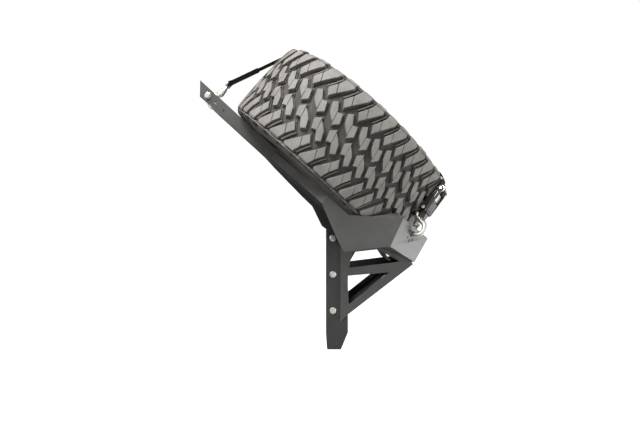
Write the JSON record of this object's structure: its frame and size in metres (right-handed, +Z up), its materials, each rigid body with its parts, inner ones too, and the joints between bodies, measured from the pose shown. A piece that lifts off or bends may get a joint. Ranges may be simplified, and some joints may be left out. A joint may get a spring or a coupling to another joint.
{
  "type": "spare tire carrier",
  "caption": "Slant-back tailgate carrier of folded steel plate with a cradle that holds a large off-road spare wheel and tyre under a ratchet tie-down of webbing legs and snap hooks.",
  "frame": {"origin": "middle of the tailgate mounting face of the bracket", "axes": "+Y out of the mounting face, towards the vehicle's front; +Z up; the vehicle's left side is -X"},
  "size_m": [0.965, 1.0699, 1.3019],
  "materials": {
    "powder_coat": "satin textured powder coat",
    "dark_steel": "satin black paint",
    "zinc": "bright zinc plate",
    "tyre": "dusty moulded rubber",
    "rubber": "matte",
    "webbing": "woven polyester",
    "wheel_paint": "satin charcoal"
  },
  "bodies": {
    "root": {"centre_plate": "zinc", "crossbar": "zinc", "crossbar_bolt_left": "zinc", "crossbar_bolt_right": "zinc", "floor_left": "powder_coat", "floor_right": "powder_coat", "hook_left": "zinc", "hook_right": "zinc", "hook_top": "zinc", "keel_belly": "powder_coat", "keel_brace": "powder_coat", "keel_side_left": "powder_coat", "keel_side_right": "powder_coat", "rail_left": "powder_coat", "rail_right": "powder_coat", "ratchet_end_bolt": "zinc", "ratchet_frame": "dark_steel", "rear_wall": "powder_coat", "side_bolt_left_1": "zinc", "side_bolt_left_2": "zinc", "side_bolt_left_3": "zinc", "side_bolt_right_1": "zinc", "side_bolt_right_2": "zinc", "side_bolt_right_3": "zinc", "side_nut_left_1": "zinc", "side_nut_left_2": "zinc", "side_nut_left_3": "zinc", "side_nut_right_1": "zinc", "side_nut_right_2": "zinc", "side_nut_right_3": "zinc", "spine_plate_lower": "powder_coat", "spine_plate_upper": "powder_coat", "spine_side_left": "dark_steel", "spine_side_right": "dark_steel", "strap_left": "webbing", "strap_link": "webbing", "strap_right": "webbing", "strap_sleeve": "webbing", "strap_top": "webbing", "tailgate_bracket": "dark_steel", "tread_rest": "rubber", "tyre": "tyre", "valve_stem": "rubber", "wheel_barrel": "wheel_paint", "wheel_disc": "wheel_paint", "wing_left": "powder_coat", "wing_right": "powder_coat"},
    "keeper_top_body": {"keeper_top": "zinc"},
    "keeper_left_body": {"keeper_left": "zinc"},
    "keeper_right_body": {"keeper_right": "zinc"},
    "spool_body": {"ratchet_spool": "zinc", "webbing_roll": "webbing"},
    "handle_body": {"ratchet_handle": "dark_steel"},
    "driving_pawl_body": {"driving_pawl": "zinc"},
    "holding_pawl_body": {"holding_pawl": "zinc"}
  },
  "joints": [
    {"name": "keeper_top_hinge", "type": "hinge", "parent": "root", "child": "keeper_top_body", "pos_m": [0, 0.49964, 0.87732], "axis": [1, 0, 0], "range_deg": [0, 18], "stiffness_Nm_per_rad": 0.05, "springref_deg": -17.19},
    {"name": "keeper_left_hinge", "type": "hinge", "parent": "root", "child": "keeper_left_body", "pos_m": [-0.2966, -0.36608, 0.30617], "axis": [-0.8261, 0.4155, 0.3807], "range_deg": [0, 18], "stiffness_Nm_per_rad": 0.05, "springref_deg": -17.19},
    {"name": "keeper_right_hinge", "type": "hinge", "parent": "root", "child": "keeper_right_body", "pos_m": [0.2966, -0.36608, 0.30617], "axis": [-0.8261, -0.4155, -0.3807], "range_deg": [0, 18], "stiffness_Nm_per_rad": 0.05, "springref_deg": -17.19},
    {"name": "spool_turn", "type": "hinge", "parent": "root", "child": "spool_body", "pos_m": [-0.28289, -0.4586, 0.43689], "axis": [0.8261, -0.4155, -0.3807], "continuous": true},
    {"name": "handle_swing", "type": "hinge", "parent": "root", "child": "handle_body", "pos_m": [-0.28289, -0.4586, 0.43689], "axis": [-0.8261, 0.4155, 0.3807], "range_deg": [0, 150]},
    {"name": "driving_pawl_slide", "type": "slide", "parent": "handle_body", "child": "driving_pawl_body", "axis": [-0.0882, 0.572, -0.8155], "range_m": [0, 0.005], "stiffness_N_per_m": 800, "springref_m": -0.003},
    {"name": "holding_pawl_slide", "type": "slide", "parent": "root", "child": "holding_pawl_body", "axis": [0, 0.6756, -0.7373], "range_m": [0, 0.005], "stiffness_N_per_m": 800, "springref_m": -0.003}
  ]
}
